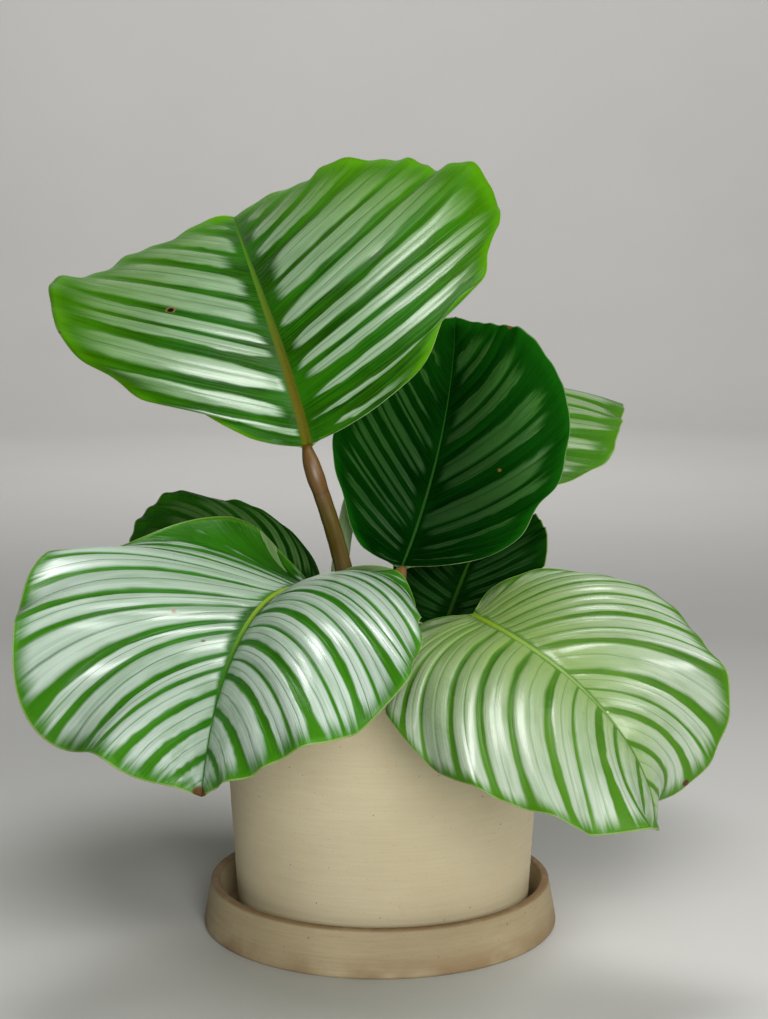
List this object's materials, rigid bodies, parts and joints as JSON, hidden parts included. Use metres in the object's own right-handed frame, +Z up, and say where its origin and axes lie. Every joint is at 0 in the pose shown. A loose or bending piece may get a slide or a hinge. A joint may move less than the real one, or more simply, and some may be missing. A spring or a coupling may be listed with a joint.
{
  "type": "potted calathea orbifolia",
  "caption": "Foliage plant with large rounded silver-striped leaves on upright stems, growing in a plain tapered stoneware pot that stands in a matching low saucer.",
  "frame": {"origin": "centre of the saucer's flat underside, on the surface that it rests on", "axes": "+Z up; +X to the right and +Y away from a viewer who sees the plant as in the picture"},
  "size_m": [0.3322, 0.4106, 0.3838],
  "materials": {
    "saucer_stoneware": "matte",
    "pot_stoneware": "matte",
    "soil": "matte",
    "petiole": "satin",
    "blade": "satin"
  },
  "bodies": {
    "root": {"saucer": "saucer_stoneware", "pot": "pot_stoneware", "soil": "soil", "petiole_upper_left": "petiole", "leaf_upper_left": "blade", "petiole_middle_right": "petiole", "leaf_middle_right": "blade", "petiole_front_left": "petiole", "leaf_front_left": "blade", "petiole_front_right": "petiole", "leaf_front_right": "blade", "petiole_back_right": "petiole", "leaf_back_right": "blade", "petiole_back_left": "petiole", "leaf_back_left": "blade", "petiole_back_low": "petiole", "leaf_back_low": "blade"}
  },
  "joints": []
}
